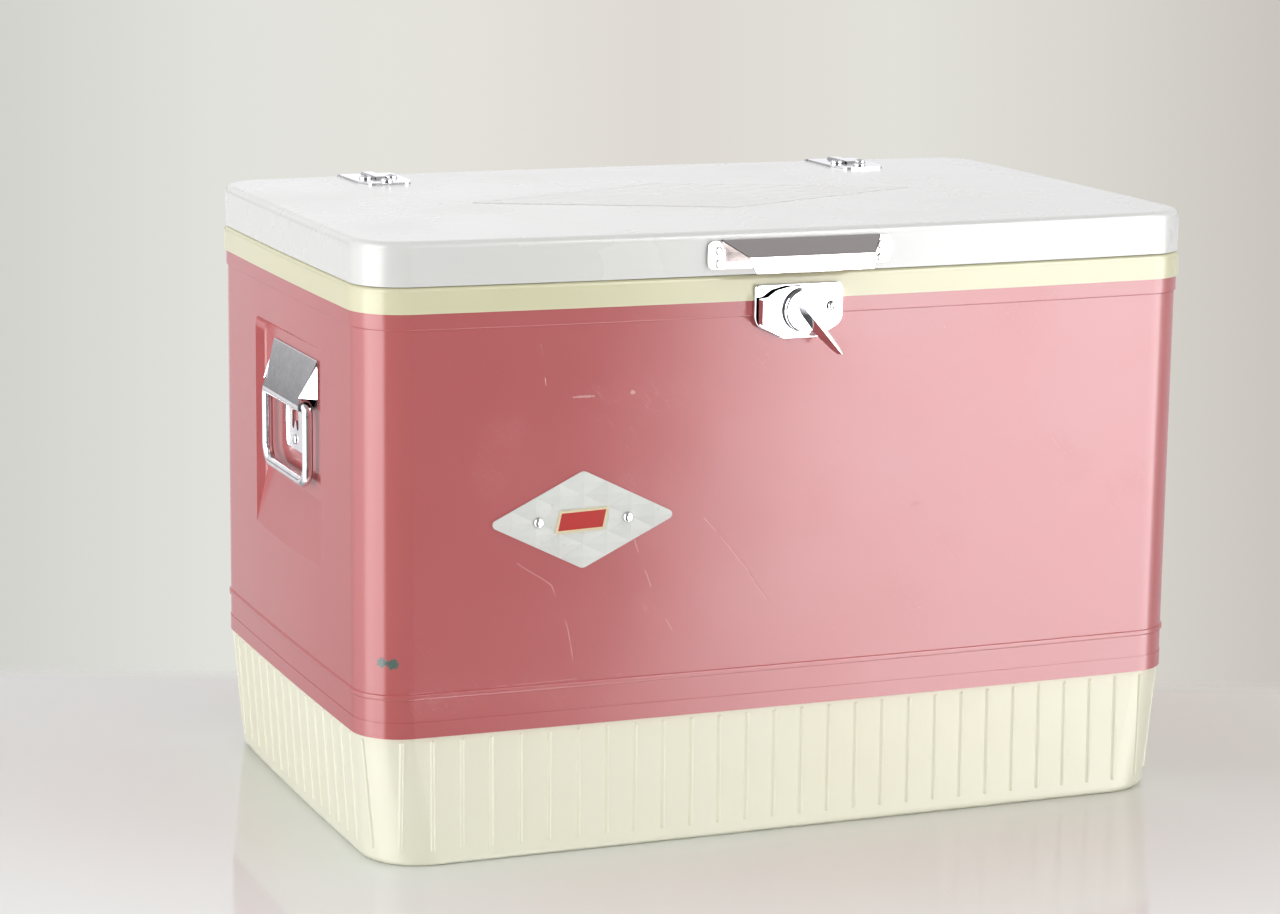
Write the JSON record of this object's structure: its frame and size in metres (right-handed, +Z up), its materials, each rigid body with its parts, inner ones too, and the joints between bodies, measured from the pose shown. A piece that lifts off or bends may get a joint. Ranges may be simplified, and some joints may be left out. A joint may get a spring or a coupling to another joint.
{
  "type": "cooler chest",
  "caption": "Insulated picnic chest: painted steel belt, ribbed plastic base, hinged white lid with a turning latch, folding end handles and a drain.",
  "frame": {"origin": "on the floor under the middle of the chest", "axes": "+X along the chest's length towards the drain end, -Y out of the front with the latch, +Z up"},
  "size_m": [0.5813, 0.3833, 0.3913],
  "materials": {
    "base_plastic": "satin moulded plastic, aged ivory",
    "belt_paint": "glossy pink-red enamel on sheet steel",
    "rim_plastic": "smooth pale yellow-cream plastic",
    "foam": "rigid foam",
    "liner_plastic": "smooth off-white plastic",
    "lid_paint": "glossy white enamel on sheet steel",
    "chrome_plate": "bright plating, lightly worn",
    "zinc_steel": "plain zinc-plated steel",
    "brushed_plate": "satin plating brushed lengthwise",
    "badge_white": "white enamel on a faceted plate",
    "label_red": "red enamel with a cream border",
    "seal_rubber": "soft pale rubber",
    "drain_plastic": "smooth off-white plastic"
  },
  "bodies": {
    "chest": {"base_pan": "base_plastic", "steel_belt": "belt_paint", "inner_liner": "rim_plastic", "body_insulation": "foam", "handle_bracket_left": "chrome_plate", "handle_bracket_right": "chrome_plate", "handle_rivets_left": "zinc_steel", "handle_rivets_right": "zinc_steel", "handle_backing_plate_left": "zinc_steel", "handle_backing_plate_right": "zinc_steel", "latch_plate": "chrome_plate", "latch_backing_plate": "zinc_steel", "latch_screws": "chrome_plate", "latch_pivot": "zinc_steel", "latch_washer": "zinc_steel", "hinge_lower_leaf_left": "chrome_plate", "hinge_lower_leaf_right": "chrome_plate", "hinge_lower_screws": "chrome_plate", "hinge_pins": "chrome_plate", "badge_plate": "badge_white", "badge_label": "label_red", "badge_rivets": "zinc_steel", "drain_spout": "drain_plastic", "drain_nut": "drain_plastic", "drain_gasket": "seal_rubber"},
    "lid": {"lid_shell": "lid_paint", "lid_liner": "liner_plastic", "lid_insulation": "foam", "lid_gasket": "seal_rubber", "lid_pull": "brushed_plate", "lid_pull_rivets": "zinc_steel", "hinge_upper_leaf_left": "chrome_plate", "hinge_upper_leaf_right": "chrome_plate", "hinge_upper_screws": "chrome_plate"},
    "latch": {"latch_cam": "chrome_plate", "latch_lever": "chrome_plate"},
    "bail_left": {"bail_left": "chrome_plate"},
    "bail_right": {"bail_right": "chrome_plate"},
    "cap_seal": {"drain_cap_gasket": "seal_rubber"},
    "cap": {"drain_cap": "drain_plastic"}
  },
  "joints": [
    {"name": "lid_hinge", "type": "hinge", "parent": "chest", "child": "lid", "pos_m": [0, 0.1786, 0.361], "axis": [-1, 0, 0], "range_deg": [0, 105]},
    {"name": "latch_turn", "type": "hinge", "parent": "chest", "child": "latch", "pos_m": [-0.0038, -0.184, 0.3385], "axis": [0, 1, 0], "range_deg": [0, 90]},
    {"name": "bail_left_swing", "type": "hinge", "parent": "chest", "child": "bail_left", "pos_m": [-0.2824, -0.0035, 0.2685], "axis": [0, 1, 0], "range_deg": [0, 110]},
    {"name": "bail_right_swing", "type": "hinge", "parent": "chest", "child": "bail_right", "pos_m": [0.2824, -0.0035, 0.2685], "axis": [0, -1, 0], "range_deg": [0, 110]},
    {"name": "drain_cap_travel", "type": "slide", "parent": "chest", "child": "cap_seal", "axis": [1, 0, 0], "range_m": [0, 0.009]},
    {"name": "drain_cap_turn", "type": "hinge", "parent": "cap_seal", "child": "cap", "pos_m": [0.288, 0, 0.0665], "axis": [1, 0, 0], "range_deg": [0, 811]}
  ],
  "couplings": [
    {"joint": "drain_cap_turn", "follows": "drain_cap_travel", "rad_per_m": 1570.8}
  ]
}
